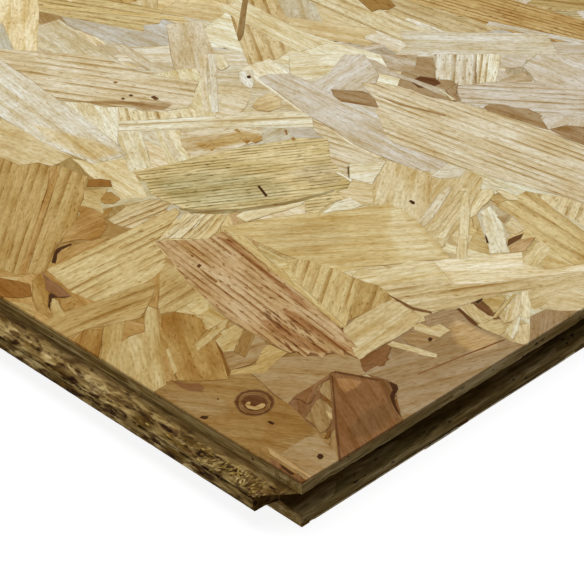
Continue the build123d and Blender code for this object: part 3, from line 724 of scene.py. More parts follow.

# Soft-edged marks in those strands, uppermost first: knots, bark, stains, holes in the face, and painted
# shadows in notches, pits and slots and along the edges of higher strands. Where the cut is the same as the
# strand's, its grain runs on through the mark
CORNER_MARKS = {
    "needle": ("umber", "speck", (9, 10), [(257, 186), (259.5, 185), (268, 195.5), (265.5, 197)]),
    "knot mark": ("sand", "speck", (4, 1), [
        (245, 404.5), (246.5, 401.8), (249.5, 401), (250.8, 402.6), (249.6, 404.4), (252, 405.6),
        (255, 406), (258, 404.6), (261.5, 402.8), (264.5, 403), (265.5, 405), (263.5, 407.4), (259.5, 409),
        (256, 409.6), (251, 408.6), (247.5, 407.6)]),
    "knot heart": ("bark", "speck", (4, 1), [
        (240, 401.5), (243.5, 396), (250, 393.8), (258, 393.8), (265, 396.5), (269, 402), (266, 408.5),
        (258, 411.4), (250, 411.4), (243.5, 408)]),
    "knot wood": ("cocoa", "speck", (4, 1), [
        (238.4, 402), (240, 396.8), (243.6, 393.6), (249, 392), (254, 391.6), (260.5, 392.2), (267, 395.2),
        (270.8, 401.5), (269, 408.3), (262.5, 412.2), (254, 413.2), (245.6, 412.2), (240.2, 408.6)]),
    "knot ring": ("bark", "speck", (4, 1), [
        (233.5, 402), (235.5, 396), (240, 391.5), (247, 389), (254, 388.2), (262, 389), (269.5, 392),
        (274, 396.5), (275.5, 402), (273.5, 408), (268, 413), (261, 415.6), (254, 416.2), (246, 415.2),
        (239, 412), (235, 407)]),
    "hole by the corner": ("umber", "speck", (3, 1), [
        (316.5, 456), (318.5, 453.4), (322, 453.4), (324, 456), (322, 458.8), (318.5, 458.8)]),
    "hole in the tan flake": ("umber", "speck", (3, 1), [
        (408.5, 200.5), (411, 199.5), (415, 201.5), (415, 204), (412, 204)]),
    "speck by the long edge": ("umber", "speck", (4, 1), [
        (199, 417), (203, 415), (209, 415.8), (207, 418.7), (203, 419)]),
    "speck by the knot": ("umber", "speck", (3, 2), [
        (267, 420.5), (271, 420.5), (275, 423), (272.5, 424.7), (269, 423)]),
    "speck small": ("bark", "speck", (3, 0), [(216.5, 398.5), (218, 397.3), (219.5, 398.5), (218, 399.8)]),
    "speck far a": ("bark", "speck", (4, 1), [
        (150, 97), (154, 95.5), (158, 97.5), (159, 99.5), (155, 100)]),
    "speck far b": ("bark", "speck", (4, 1), [(128, 95), (131, 94), (134, 95.5), (131, 96.7)]),
    "speck far c": ("bark", "speck", (4, 1), [(120.5, 98.5), (123, 97.3), (125.5, 98.7), (123, 99.9)]),
    "speck far d": ("caramel", "speck", (4, 1), [(112.5, 82), (116, 81), (118.5, 82.5), (115, 83.6)]),
    "knot far": ("umber", "speck", (3, 2), [
        (246.5, 76), (249, 75), (251, 76), (251, 78), (249, 78.6), (247, 78)]),
    "eye in the flake": ("umber", "speck", (3, 1), [
        (427.5, 339), (430, 336.8), (433, 338.5), (431, 341.5), (429, 341.5)]),
    # Painted shadow in a pit under a strand's edge
    "shadow in the pit": ("umber", "speck", (-4, 12), [
        (50.5, 262), (51, 256), (53, 251.5), (58, 247.5), (71, 243), (72, 244.5), (62, 249.5), (57.5, 254),
        (57, 259), (55.5, 263.5)]),
    # Painted shadow in the notch beside the leaf, with painted shade of the notch spreading from it
    "shadow in the leaf notch": ("umber", "speck", (2, 12), [
        (389, 381.5), (397, 384.5), (398.5, 389), (395.5, 393.5), (394.5, 398), (396, 405), (401.5, 417),
        (396, 411), (391.5, 402), (389.5, 396), (392.5, 390)]),
    "shade of the notch": ("cocoa", "same", (2, 12), [
        (378, 379.5), (392, 381.5), (393.5, 388), (392, 398), (396, 410), (404, 424), (396, 420),
        (387, 406), (385, 394)]),
    # Painted shade along the leaf's left and top edges
    "shade along the leaf's side": ("bark", "same", (2, 30), [
        (331, 376), (333.2, 376), (337.4, 420), (341.4, 460), (339, 462), (334.8, 425)]),
    "shade along the leaf's top": ("bark", "same", (40, 7), [
        (331.5, 372.6), (335, 370.6), (360, 375.2), (388, 380.4), (387, 382.6), (358, 377.6)]),
    "glow in the leaf": ("redwood", "same", (2, 30), [
        (335, 377.5), (350, 377.5), (363, 381), (358, 388), (346, 393), (338, 388)]),
    "dusk in the leaf": ("cocoa", "same", (45, -22), [
        (345, 430), (360, 412), (380, 402), (397, 399), (400, 411), (389, 424), (370, 437), (352, 440)]),
    "rim of the spindle": ("walnut", "same", (30, 8), [
        (169, 379.5), (186, 382), (200, 382.3), (206, 387), (202, 392.5), (190, 392), (180, 388)]),
    "rosy rim": ("fawn", "same", (60, 5), [
        (82, 101), (110, 100), (140, 101), (165, 102), (174, 104), (165, 111), (143, 111), (130, 106),
        (112, 105), (100, 104.5)]),
    "shade of the orange flake": ("russet", "speck", (12, 35), [
        (215, 340), (219, 342), (230, 371), (228, 378), (222, 358)]),
    "dark knot": ("bark", "speck", (20, 3), [
        (410, 80.5), (420, 75.5), (436, 77.5), (442, 83), (429, 88.5), (418, 87.5)]),
    # Painted shadow in a slot between strands
    "shadow in the slot": ("bark", "speck", (20, 15), [
        (455.5, 308.5), (459.5, 307), (467, 313.5), (475, 320.5), (484, 328.5), (477, 327.5),
        (465, 317.5)]),
    "brown slot": ("cocoa", "speck", (22, 16), [
        (470, 303), (481, 296.5), (484, 301), (497, 312.5), (502, 319), (494, 319), (484, 312)]),
    "brown wedge": ("bark", "speck", (14, -8), [
        (507, 246.5), (508, 239), (514, 236), (524, 232.5), (521, 238.5), (512, 243.5)]),
    # Painted shadow beside a stick
    "shadow by the stick": ("umber", "speck", (2, 8), [(484.5, 234), (487, 237), (489, 243), (486.5, 243)]),
    "shade of the cream plank": ("cocoa", "speck", (30, 12), [
        (388, 294), (400, 299.5), (413, 306.5), (432, 311), (432, 313.4), (413, 310), (399, 303)]),
    "gap in front": ("umber", "speck", (18, 11), [
        (279, 460.5), (290, 464.5), (300, 472.5), (291, 474.5), (282, 468)]),
    "moss along the lined strand": ("moss", "speck", (80, -8), [
        (178, 208), (200, 209.5), (240, 208.6), (290, 200.5), (334, 189.5), (335, 191.5), (300, 202),
        (240, 212), (215, 214), (190, 213)]),
    "moss in the lined strand": ("sage", "same", (80, -8), [
        (146, 182), (170, 172), (205, 166), (245, 170), (290, 180), (300, 190), (270, 203), (230, 209),
        (190, 209), (162, 198)]),
    "glow of its right end": ("straw", "same", (80, -8), [
        (285, 172), (305, 164), (332, 161), (346, 177), (340, 186), (315, 186), (296, 182)]),
    "red streak a": ("redwood", "same", (80, 60), [
        (256, 318), (280, 320), (310, 338), (332, 352), (318, 354), (296, 348), (272, 335)]),
    "red streak b": ("redwood", "same", (80, 60), [
        (280, 308), (298, 312), (330, 335), (354, 352), (338, 350), (312, 334), (290, 320)]),
    "red streak c": ("rust", "same", (80, 60), [
        (264, 324), (290, 332), (318, 350), (302, 351), (278, 339)]),
    "brown side of the tan strand": ("redwood", "same", (80, 60), [
        (216, 236), (232, 240), (262, 266), (300, 297), (312, 310), (298, 303), (262, 274), (238, 252)]),
    "nick in the tan strand": ("bark", "speck", (4, -2), [
        (196, 266), (199, 263.5), (202, 265), (199, 268)]),
    "slot in the tan strand": ("caramel", "speck", (12, 9), [
        (199, 268), (203, 270), (218, 281), (216, 283), (206, 276)]),
    "fleck a": ("clay", "speck", (6, -4), [(203.5, 146.5), (208, 143.8), (213, 144), (208, 147.5)]),
    "fleck b": ("clay", "speck", (6, -4), [(209, 149.5), (214, 146.5), (216, 147.5), (212, 151)]),
    "fleck c": ("clay", "speck", (6, 4), [(233, 130), (237, 128.2), (240, 131), (243, 135), (239, 133)]),
    "fleck d": ("clay", "speck", (6, -2), [(241, 140), (246, 136.5), (251, 141), (247, 144)]),
    "fleck e": ("clay", "speck", (6, -2), [(250, 141), (256, 136.5), (262, 135), (262.5, 140), (255, 143)]),
    "fleck f": ("tan", "speck", (3, 6), [(284, 129), (287, 129), (288, 134), (286, 135)]),
    "fleck g": ("clay", "speck", (3, 2), [(291, 138), (294, 136.5), (296, 139.5), (293, 141)]),
    "rust of the golden flake": ("sand", "same", (60, -8), [
        (190, 143), (212, 137), (240, 129.5), (262, 133), (260, 141), (235, 146), (205, 152)]),
    "line on the plank": ("tan", "speck", (70, 22), [
        (372, 93.5), (400, 103), (446, 114.5), (446, 116.5), (400, 105.5)]),
    "line on the rose strand": ("walnut", "speck", (84, -34), [
        (418, 373), (460, 356), (505, 338.5), (505, 340), (460, 357.6), (418, 375)]),
    "dusk of the knot strand": ("caramel", "same", (60, 10), [
        (262, 412), (275, 402), (299, 413), (318, 433), (290, 439), (266, 446), (258, 440), (262, 425)]),
    "dusk by the knot": ("caramel", "same", (60, 10), [
        (275, 397), (286, 401), (298, 412), (290, 413), (280, 408)]),
    "glow of the rose strand": ("blush", "same", (110, -30), [
        (446, 326), (456, 318), (470, 323), (484, 331), (500, 337), (498, 348), (475, 354), (454, 344)]),
    "glow of the knot strand": ("tan", "same", (60, 10), [
        (150, 386), (185, 392), (225, 398), (232, 412), (205, 420), (180, 412)]),
    "dark by the cream plank": ("umber", "speck", (20, -8), [
        (474, 301.5), (482.5, 297.5), (483, 300), (478, 304)]),
    "dark by the thin stick": ("bark", "speck", (18, -23), [
        (490, 315), (497, 308), (505, 299), (499, 309), (494, 317.5)]),
    "dark arc at the left": ("umber", "speck", (10, 4), [
        (46.5, 298), (50, 292.8), (58, 294.2), (66, 293.4), (71.5, 296), (64, 298), (54, 297.6),
        (50.5, 303), (51, 311), (48, 307)]),
    "pale end of the golden strand": ("butter", "same", (190, -10), [
        (390, 205), (402, 209), (420, 223), (440, 246), (450, 258), (425, 260), (400, 256), (384, 235)]),
    "dusk of the golden strand": ("golden", "same", (190, -10), [
        (258, 229), (300, 219), (345, 222), (352, 242), (320, 256), (290, 253), (265, 244)]),
    "straw end of the grey strand": ("cream", "same", (110, 84), [
        (28, 122), (60, 130), (95, 138), (122, 152), (112, 157), (93, 161), (70, 153), (45, 141)]),
}

# Woods that the rest of the mat is made of, with the share of each. Lilac keeps its painted sheen
SHARES = {
    ("chalk", "lined"): 8, ("chalk", "plain"): 6, ("milk", "lined"): 5, ("milk", "plain"): 5,
    ("lilac", "plain"): 6, ("cream", "plain"): 8, ("cream", "ribbed"): 2, ("butter", "plain"): 4,
    ("straw", "lined"): 8, ("straw", "plain"): 6, ("straw", "weathered"): 2, ("wheat", "plain"): 8,
    ("wheat", "ribbed"): 4, ("wheat", "lined"): 4, ("golden", "lined"): 5, ("sand", "plain"): 4,
    ("sand", "ruled"): 4, ("sand", "lined"): 3, ("amber", "lined"): 3, ("honey", "lined"): 2,
    ("fawn", "plain"): 3, ("tan", "plain"): 2, ("clay", "heart"): 3, ("caramel", "heart"): 2,
    ("russet", "heart"): 1,
}

# Short dark fibres in the torn end of the tan strand, sized in pixels of the photograph and strewn between
# four of them
FRAYED_END = [Vector(p) for p in ((250, 320), (272, 309), (326, 340), (292, 350))]
FRAYED_WAY = Vector((0.8, 0.6))
FRAYED_FIBRES = 56
FRAYED_WOODS = ("redwood", "walnut")
FRAYED_HALF = (3, 8)
FRAYED_WIDE = (0.8, 1.7)
rng = random.Random(3)
frayed = {}
for i in range(FRAYED_FIBRES):
    u, v = rng.random(), rng.random()
    near, far = FRAYED_END[0].lerp(FRAYED_END[1], u), FRAYED_END[3].lerp(FRAYED_END[2], u)
    spot = near.lerp(far, v)
    reach = FRAYED_WAY * rng.uniform(*FRAYED_HALF)
    side = FRAYED_WAY.orthogonal() * rng.uniform(*FRAYED_WIDE)
    ring = [spot - reach, spot + side, spot + reach, spot - side]
    frayed["frayed fibre " + str(i)] = (FRAYED_WOODS[i % len(FRAYED_WOODS)], "same", FRAYED_WAY, ring)
CORNER_MARKS = frayed | CORNER_MARKS

# The mat is laid on a map of cells. A thing of few cells takes up its whole block of the map
CELL = 1.0 * MM
FEW_CELLS = 12
LEAST_GAP = 0.4 * MM


def under(outline):
    """The cells of the face that an outline covers, as a block of the map and a mask in it."""
    pts = np.array([(p - FACE_LOW) / CELL for p in outline])
    low = np.maximum(np.floor(pts.min(0)).astype(int), 0)
    high = np.ceil(pts.max(0)).astype(int)
    block = (slice(low[0], high[0]), slice(low[1], high[1]))
    gx, gy = np.meshgrid(np.arange(low[0], high[0]) + 0.5, np.arange(low[1], high[1]) + 0.5, indexing="ij")
    inside = np.zeros(gx.shape, bool)
    for a, b in zip(pts, np.roll(pts, -1, axis=0)):
        if a[1] != b[1]:
            crosses = (a[1] > gy) != (b[1] > gy)
            inside ^= crosses & (gx < (b[0] - a[0]) * (gy - a[1]) / (b[1] - a[1]) + a[0])
    if inside.sum() < FEW_CELLS:
        inside[:] = True
    return block, inside


def trim(outline):
    """Cuts an outline off at the edges of the face and drops points that lie too close."""
    sides = ((0, FACE_LOW.x, 1), (0, FACE_HIGH.x, -1), (1, FACE_LOW.y, 1), (1, FACE_HIGH.y, -1))
    for axis, limit, sign in sides:
        kept = []
        for a, b in zip(outline, outline[1:] + outline[:1]):
            da, db = (a[axis] - limit) * sign, (b[axis] - limit) * sign
            if da >= 0:
                kept.append(a)
            if (da > 0 > db) or (da < 0 < db):
                kept.append(a.lerp(b, da / (da - db)))
        outline = kept
    return [a for a, b in zip(outline, outline[1:] + outline[:1]) if (a - b).length > LEAST_GAP]


LONG_SIDE = 8 * MM
BEND = 0.25
BEND_AT = (0.35, 0.65)


def worn(outline, rng):
    """A traced outline with a bend of a fraction of a millimetre in each long side."""
    ring = []
    for a, b in zip(outline, outline[1:] + outline[:1]):
        ring.append(a)
        if (b - a).length > LONG_SIDE:
            off = (b - a).orthogonal().normalized() * rng.gauss(0, BEND) * MM
            ring.append(a.lerp(b, rng.uniform(*BEND_AT)) + off)
    return ring


# The points of a long side, and the shares of a strand's width by which its sides bow, taper and waver and
# its ends slant. The slant stops at a share of its length. Torn ends have a few teeth, ragged by millimetres
SIDE_POINTS = 5
BOW = 0.06
TAPER = 0.12
WAVER = 0.04
SLANTS = (0.1, 0.25, 0.8, 1.5)
MOST_SLANT = 0.4
TEETH = (1, 2, 3, 4)
RAGS = (0.3, 1.0, 3.0, 6.0)


def drawn_outline(rng, middle, angle, length, width):
    """A random strand: two long sides that waver a little and two ends, cut, slanted or torn."""
    left, right = [], []
    bow = rng.uniform(-BOW, BOW) * width
    taper = rng.uniform(-TAPER, TAPER)
    for i in range(SIDE_POINTS):
        t = i / (SIDE_POINTS - 1) - 0.5
        half = width / 2 * (1 + taper * 2 * t)
        sway = bow * math.cos(math.pi * t)
        left.append(Vector((t * length, half + sway + rng.uniform(-WAVER, WAVER) * width)))
        right.append(Vector((t * length, -half + sway + rng.uniform(-WAVER, WAVER) * width)))
    ends = []
    for side in (1, -1):
        slant = rng.choice(SLANTS) * rng.uniform(-1, 1) * width
        slant = min(max(slant, -MOST_SLANT * length), MOST_SLANT * length)
        teeth = rng.choice(TEETH)
        tooth = rng.choice(RAGS) * MM
        end = []
        for k in range(teeth):
            w = (k + 1) / (teeth + 1) + rng.uniform(-0.2, 0.2) / (teeth + 1)
            reach = side * (length / 2 + rng.uniform(-1, 1) * tooth)
            end.append(Vector((reach + slant * (0.5 - w), (0.5 - w) * width * side)))
        ends.append(end)
        left[-1 if side > 0 else 0].x += slant / 2 * side
        right[-1 if side > 0 else 0].x -= slant / 2 * side
    ring = left + ends[0] + right[::-1] + ends[1]
    turn = Vector((math.cos(angle), math.sin(angle)))
    across = Vector((-turn.y, turn.x))
    return [middle + turn * p.x + across * p.y for p in ring], turn


# Most strands lie along the board within this angle. Narrow ones are splinters, and the last tries patch what
# is still bare
ALONG_THE_BOARD = 0.8
LAY_ANGLE = math.radians(32)
NARROW = 0.28
NARROW_LONG, NARROW_WIDE = (20, 80), (2.5, 7)
BROAD_LONG, BROAD_WIDE = (55, 120), (8, 36, 17)
LOOK_AGAIN = 60
LAYING = 0.4
LEAST_SHOWN, LEAST_PATCH = 6, 1
TONE_SPREAD = 0.2
GRAIN_WIDTH = (0.75, 1.4)
GRAIN_SHIFT = 9
NEIGHBOUR = 25 * MM
MARK_LIFT = 0.8


def lay_mat(seed, traced, marks, tries):
    """Lays strands from the top layer down until the face is covered, and returns those that show."""
    rng = random.Random(seed)
    size = FACE_HIGH - FACE_LOW
    levels = np.zeros((int(size.x / CELL) + 1, int(size.y / CELL) + 1), dtype=np.int16)
    owner = np.full(levels.shape, -1, dtype=np.int32)
    laid = []

    def lay(wood, cut, outline, grain, least, vary):
        """Puts one strand under those already laid, if enough of it shows."""
        outline = trim(outline)
        if len(outline) < 3:
            return
        block, inside = under(outline)
        area = levels[block]
        bare = inside & (area == 0)
        if bare.sum() < least:
            return
        level = int(area[inside].max())
        owner[block][bare] = len(laid)
        area[inside] = level + 1
        bright = 1 + rng.uniform(-vary, vary / 3)
        warm = rng.uniform(-vary, vary) / 6
        tint = [c * bright * (1 + w * warm) for c, w in zip(linear(TINTS[wood]), (1, 0, -1))] + [1]
        laid.append({
            "wood": wood, "cut": cut, "outline": outline, "grain": grain, "tint": tint, "edge": None,
            "level": level, "start": outline[0], "width": rng.uniform(*GRAIN_WIDTH),
            "shift": Vector((rng.uniform(0, GRAIN_SHIFT), rng.uniform(0, GRAIN_SHIFT))),
        })

    def grain_of(way, outline):
        first = on_face(*outline[0])
        return (on_face(outline[0][0] + way[0], outline[0][1] + way[1]) - first).normalized()

    for wood, cut, way, outline in traced:
        lay(wood, cut, worn([on_face(*p) for p in outline], rng), grain_of(way, outline), 0, 0)
    kinds, shares = list(SHARES), list(SHARES.values())
    seen = [(p, strand["wood"]) for strand in laid for p in strand["outline"]]
    for turn in range(tries):
        if turn % LOOK_AGAIN == 0:
            bare = np.argwhere(levels == 0)
            if len(bare) == 0:
                break
        patching = turn > tries * LAYING
        if patching:
            pick = bare[rng.randrange(len(bare))]
            spot = FACE_LOW + Vector(((pick[0] + 0.5) * CELL, (pick[1] + 0.5) * CELL))
        else:
            spot = Vector((rng.uniform(FACE_LOW.x, FACE_HIGH.x), rng.uniform(FACE_LOW.y, FACE_HIGH.y)))
        angle = rng.gauss(0, LAY_ANGLE) if rng.random() < ALONG_THE_BOARD else rng.uniform(0, math.pi)
        if rng.random() < NARROW:
            length, width = rng.uniform(*NARROW_LONG) * MM, rng.uniform(*NARROW_WIDE) * MM
        else:
            length, width = rng.uniform(*BROAD_LONG) * MM, rng.triangular(*BROAD_WIDE) * MM
        wood, cut = rng.choices(kinds, shares)[0]
        if seen:
            beside, same_wood = min(seen, key=lambda one: (one[0] - spot).length)
            if (beside - spot).length < NEIGHBOUR:
                wood, cut = same_wood, "plain"
        outline, grain = drawn_outline(rng, spot, angle, length, width)
        lay(wood, cut, outline, grain, LEAST_PATCH if patching else LEAST_SHOWN, TONE_SPREAD)
    for i, (wood, cut, way, outline) in enumerate(marks):
        ring = trim([on_face(*p) for p in outline])
        block, inside = under(ring)
        owners = owner[block][inside]
        below = laid[np.bincount(owners[owners >= 0]).argmax()]
        mark = dict(below, wood=wood, outline=ring, tint=linear(TINTS[wood]), edge=below["tint"])
        mark["level"] = below["level"] - MARK_LIFT * (1 - i / len(marks))
        if cut != "same":
            mark.update(cut=cut, grain=grain_of(way, outline), start=ring[0])
        laid.append(mark)
    return laid


# A strand lies deeper the more others lie on it, by less and less, and always by a thin layer. Its rim is
# worn down, and darkened in places by painted shade where it stands above the strands below, mixed with some
# resin stain, and a mark's rim runs into the wood round it
RELIEF = 0.16 * MM
RELIEF_TOP, RELIEF_FADE = 1.2, 0.82
LAYER = 0.004 * MM
EDGE_STEP = 0.01 * MM
RIM = 0.03 * MM
RIM_WIDTH = 0.5 * MM
RIM_SHADE_TONE = (0.5, 0.6, 0.72, 0)
RIM_RUN = 16 * MM
RIM_SHADE_SPREAD = (-0.3, 0.4)
SPECK_SOFT, STAIN_SOFT = 0.2, 0.6


def press_strands(name, strands, material, up):
    """One joined mesh of flat strands, each at its depth, with a softened rim darkened in places by painted
    shade, and its grain as a UV map.
    """
    bm = bmesh.new()
    number = bm.faces.layers.int.new("strand")
    tint = bm.loops.layers.float_color.new("tint")
    grain = bm.loops.layers.uv.new("grain")
    for i, strand in enumerate(strands):
        inset = EDGE_STEP * (strand["level"] + 1)
        ring = []
        for p in strand["outline"]:
            x = min(max(p.x, FACE_LOW.x + inset), FACE_HIGH.x - inset)
            y = min(max(p.y, FACE_LOW.y + inset), FACE_HIGH.y - inset)
            ring.append(bm.verts.new((x, y, THICK - MAT if up else MAT)))
        bm.faces.new(ring)[number] = i
    grown = bmesh.ops.extrude_face_region(bm, geom=bm.faces[:], use_keep_orig=True)["geom"]
    tops = [part for part in grown if isinstance(part, bmesh.types.BMFace)]
    for face in tops:
        strand = strands[face[number]]
        depth = RELIEF * (RELIEF_TOP - RELIEF_FADE ** strand["level"]) + LAYER * strand["level"]
        if strand["edge"] is None:
            depth += RIM
        for v in face.verts:
            v.co.z = THICK - depth if up else depth
    bmesh.ops.recalc_face_normals(bm, faces=bm.faces)
    soft = [face for face in tops if strands[face[number]]["edge"]]
    hard = [face for face in tops if not strands[face[number]]["edge"]]
    rims = {v for face in hard for v in face.verts}
    bmesh.ops.inset_individual(bm, faces=hard, thickness=RIM_WIDTH, depth=RIM, use_even_offset=False)
    outer = set()
    for face in soft:
        outer.update(face.verts)
        softness = SPECK_SOFT if strands[face[number]]["cut"] == "speck" else STAIN_SOFT
        border = softness * face.calc_area() / face.calc_perimeter()
        bmesh.ops.inset_individual(bm, faces=[face], thickness=border, depth=0, use_even_offset=False)
    for v in bm.verts:
        v.co.x = min(max(v.co.x, FACE_LOW.x), FACE_HIGH.x)
        v.co.y = min(max(v.co.y, FACE_LOW.y), FACE_HIGH.y)
    for face in bm.faces:
        strand = strands[face[number]]
        along, start, shift = strand["grain"], strand["start"], strand["shift"]
        for loop in face.loops:
            d = loop.vert.co.xy - start
            loop[grain].uv = (d.dot(along) + shift.x, along.cross(d) / strand["width"] + shift.y)
            # Painted shade, with some resin stain, darkens the rim of a strand in places
            shade = 0.0
            if loop.vert in rims:
                shade = smooth_step(*RIM_SHADE_SPREAD, noise.noise(loop.vert.co / RIM_RUN))
            wood = strand["edge"] if loop.vert in outer else strand["tint"]
            loop[tint] = [c * (1 - tone * shade) for c, tone in zip(wood, RIM_SHADE_TONE)]
    return add_piece(name, bm, material)


WAVE_TURN = 20  # units of the wave texture's vector to a full turn
LINE_BEND = 70  # millimetres along the grain in which growth lines bend


def strand_wood(name, gap, late, run, pore, stain, rise):
    """Sliced softwood: growth lines that fade in and out, fine fibres, short dark pores and soft stains.

    In millimetres, gap is between growth lines, run is how far they show, and rise is the grain's height.
    The colours late, pore and stain are what growth lines, pores and stains leave of the wood's own.
    """
    made, tree = new_material(name)
    grain = node(tree, "ShaderNodeUVMap", uv_map="grain").outputs[0]
    tint = node(tree, "ShaderNodeAttribute", attribute_name="tint").outputs["Color"]

    def mottle(along, across, detail, stops):
        """Streaks as long along the grain and as wide across it as given, in millimetres."""
        scale = (1 / (along * MM), 1 / (across * MM), 1)
        spread = node(tree, "ShaderNodeMapping", {"Vector": grain}, Scale=scale).outputs[0]
        value = node(
            tree, "ShaderNodeTexNoise", {"Vector": spread}, noise_dimensions="2D", Scale=1.0, Detail=detail
        ).outputs[0]
        return value, node(tree, "ShaderNodeValToRGB", {"Fac": value}, stops).outputs[0]

    scale = (1 / (LINE_BEND * MM), math.tau / (WAVE_TURN * gap * MM), 1)
    spread = node(tree, "ShaderNodeMapping", {"Vector": grain}, Scale=scale).outputs[0]
    rings = node(
        tree, "ShaderNodeTexWave", {"Vector": spread}, bands_direction="Y", wave_profile="SAW",
        Scale=1.0, Distortion=3.0, Detail=1.5, Detail_Scale=0.7,
    ).outputs["Fac"]
    lines = node(tree, "ShaderNodeValToRGB", {"Fac": rings}, [
        (0.0, "#ffffff"), (0.45, "#ffffff"), (0.85, late), (0.96, late), (1.0, "#ffffff"),
    ]).outputs[0]
    _, strength = mottle(run, run / 7, 2.0, [(0.34, "#404040"), (0.6, "#ffffff")])
    faded = node(tree, "ShaderNodeMix", {0: strength, 7: lines}, data_type="RGBA")
    faded.inputs[6].default_value = linear("#ffffff")
    fibre, fibres = mottle(8, 0.8, 2.0, [(0.3, "#ece6da"), (0.6, "#ffffff")])
    _, streaks = mottle(50, 5, 3.0, [(0.3, "#f3ecdd"), (0.5, "#fbf8f2"), (0.65, "#ffffff")])
    _, specks = mottle(2.4, 1.0, 2.0, [(0.3, "#f0ebe0"), (0.6, "#ffffff")])
    _, pores = mottle(4, 0.8, 1.0, [(0.66, "#ffffff"), (0.76, pore)])
    _, stains = mottle(24, 10, 2.0, [(0.3, stain), (0.6, "#ffffff")])
    colour = tint
    for shade in (faded.outputs[2], fibres, streaks, specks, pores, stains):
        colour = node(tree, "ShaderNodeVectorMath", {0: colour, 1: shade}, operation="MULTIPLY").outputs[0]
    ridge = node(tree, "ShaderNodeMath", {0: rings, 1: fibre}, operation="ADD").outputs[0]
    bump = node(tree, "ShaderNodeBump", {"Height": ridge}, Strength=0.5, Distance=rise * MM).outputs[0]
    skin = node(
        tree, "ShaderNodeBsdfPrincipled", {"Base Color": colour, "Normal": bump},
        Roughness=0.6, Specular_IOR_Level=0.03,
    )
    node(tree, "ShaderNodeOutputMaterial", {"Surface": skin.outputs[0]})
    return made


# Raw softwood under a thin skin of glue, matt all over. Flat sawn, the eye sees broad faint growth lines,
# rift sawn clear ones, and quarter sawn close brown rules. Weathered wood has grey-green rules, torn wood
# raised ribs, heartwood warm stains, and bark and resin are a dull brown-black.
CUTS = {
    "plain": strand_wood("flat sawn softwood strand", 5.5, "#eee4cc", 40, "#e6dac0", "#efe6d2", 0.03),
    "lined": strand_wood("rift sawn softwood strand", 4.4, "#cfbb94", 34, "#d8c6a2", "#f0e6d2", 0.05),
    "ruled": strand_wood("quarter sawn softwood strand", 2.1, "#b8976c", 17, "#b8966c", "#ecdfc8", 0.08),
    "weathered": strand_wood("weathered softwood strand", 2.3, "#a8a082", 13, "#aaa082", "#e4dec8", 0.08),
    "ribbed": strand_wood("torn softwood strand", 3.2, "#c4ae86", 34, "#d2be98", "#f2eada", 0.25),
    "heart": strand_wood("heartwood strand", 6.0, "#ecdfc6", 40, "#dcc8a4", "#e0cca8", 0.03),
    "speck": strand_wood("bark and resin", 4.0, "#ead8c0", 40, "#e0ccae", "#e0ceb0", 0.02),
}

# A cut that has many strands is split by the tone of its woods, so that each piece stays light
FAMILIES = {
    "pale": ("white", "highlight", "ivory", "milk", "lilac", "butter", "chalk", "cream", "corn"),
    "straw": ("ash", "straw", "wheat", "golden", "oat", "blush", "sand", "amber", "honey", "sage"),
    "brown": (
        "fawn", "tan", "clay", "rust", "caramel", "hazel", "russet", "bark", "umber", "moss", "redwood",
        "walnut", "dun", "cocoa",
    ),
}
MANY = 400
TRIES = 6000


def press_face(face, strands, up):
    """Joins the strands of one face into a piece for each cut, and a common cut into one for each family."""
    for cut, material in CUTS.items():
        alike = [s for s in strands if s["cut"] == cut]
        groups = {"": alike}
        if len(alike) > MANY:
            groups = {}
            for name, woods in FAMILIES.items():
                groups["_" + name] = [s for s in alike if s["wood"] in woods]
        for ending, chosen in groups.items():
            if chosen:
                press_strands(face + "_" + cut + ending, chosen, material, up)


press_face("laid_face", lay_mat(7, CORNER_STRANDS.values(), CORNER_MARKS.values(), TRIES), True)

# Strands of the underside
# The lower face of the same pressed mat. Its strands were laid by the same machine, on the belt, so
# they are of the same woods and sizes and lie in an order of their own.
press_face("underside", lay_mat(19, [], [], TRIES), False)

# Floor
# A plain painted floor that the panel lies flat on, and a pale room around it. Both are white where they are
# looked at, and dimmer in the light that they throw back.
FLOOR_HALF = 12
FLOOR_GLOW = 0.88
ROOM_LIGHT = 0.15


def looked_at(tree):
    """1 for a ray from the camera, from a glossy face or through a clear one."""
    path = node(tree, "ShaderNodeLightPath")
    seen = path.outputs["Is Camera Ray"]
    for ray in ("Is Glossy Ray", "Is Transmission Ray"):
        seen = node(tree, "ShaderNodeMath", {0: seen, 1: path.outputs[ray]}, operation="MAXIMUM").outputs[0]
    return seen


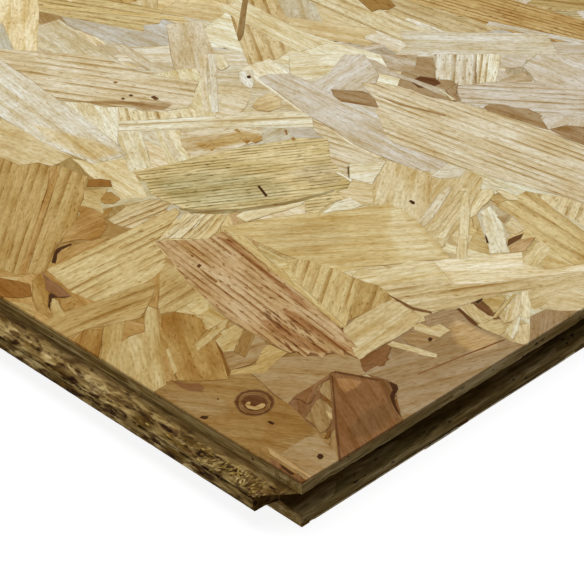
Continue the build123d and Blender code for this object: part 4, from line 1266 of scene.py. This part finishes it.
# White floor paint, matt: the eye sees an even white with the panel's soft shadow on it
floor_paint, tree = new_material("white floor paint")
thrown = node(tree, "ShaderNodeBsdfDiffuse", Color=linear("#959595")).outputs[0]
shaded = node(tree, "ShaderNodeBsdfDiffuse", Color=linear("#818181")).outputs[0]
glow = node(tree, "ShaderNodeEmission", Color=linear("#ffffff"), Strength=FLOOR_GLOW).outputs[0]
white = node(tree, "ShaderNodeAddShader", {0: shaded, 1: glow}).outputs[0]
both = node(tree, "ShaderNodeMixShader", {0: looked_at(tree), 1: thrown, 2: white}).outputs[0]
node(tree, "ShaderNodeOutputMaterial", {"Surface": both})
bm = bmesh.new()
bmesh.ops.create_grid(bm, x_segments=1, y_segments=1, size=FLOOR_HALF)
mesh = bpy.data.meshes.new("floor")
bm.to_mesh(mesh)
bm.free()
mesh.materials.append(floor_paint)
floor = bpy.data.objects.new("floor", mesh)
bpy.context.scene.collection.objects.link(floor)

world = bpy.data.worlds.new("room")
world.use_nodes = True
tree = world.node_tree
tree.nodes.clear()
light = node(tree, "ShaderNodeBackground", Color=linear("#ffffff"), Strength=ROOM_LIGHT).outputs[0]
back = node(tree, "ShaderNodeBackground", Color=linear("#ffffff"), Strength=1.0).outputs[0]
both = node(tree, "ShaderNodeMixShader", {0: looked_at(tree), 1: light, 2: back}).outputs[0]
node(tree, "ShaderNodeOutputWorld", {"Surface": both})
bpy.context.scene.world = world

# Lamps and camera
# Soft light from a window behind the corner, from the ceiling, and low from the front on the edges. The
# camera stands where the photograph was taken.
# Each lamp's place, what it points at, its width and height in metres, and its watts
LAMPS = {
    "window": (corner + Vector((-0.45, 0.45, 0.9)), corner + Vector((-0.25, 0.25, 0)), (0.8, 0.7), 2.5),
    "ceiling": (Vector((0, 0, 2.6)), Vector((0, 0, 0)), (3.6, 1.8), 57.5),
    "front": (corner + Vector((0.5, -1.9, 0.3)), corner, (1.6, 0.5), 14.5),
}
for name, (spot, target, size, power) in LAMPS.items():
    data = bpy.data.lights.new(name, "AREA")
    data.shape = "RECTANGLE"
    data.size, data.size_y = size
    data.energy = power
    lamp = bpy.data.objects.new(name, data)
    lamp.location = spot
    lamp.rotation_euler = (target - spot).to_track_quat("-Z", "Y").to_euler()
    lamp.visible_camera = False
    bpy.context.scene.collection.objects.link(lamp)

camera_data = bpy.data.cameras.new("camera")
camera_data.lens = CAMERA_LENS
camera_data.sensor_width = CAMERA_SENSOR
camera = bpy.data.objects.new("camera", camera_data)
camera.location = eye
camera.rotation_euler = look.to_euler()
bpy.context.scene.collection.objects.link(camera)
bpy.context.scene.camera = camera
bpy.context.scene.view_settings.view_transform = "Standard"
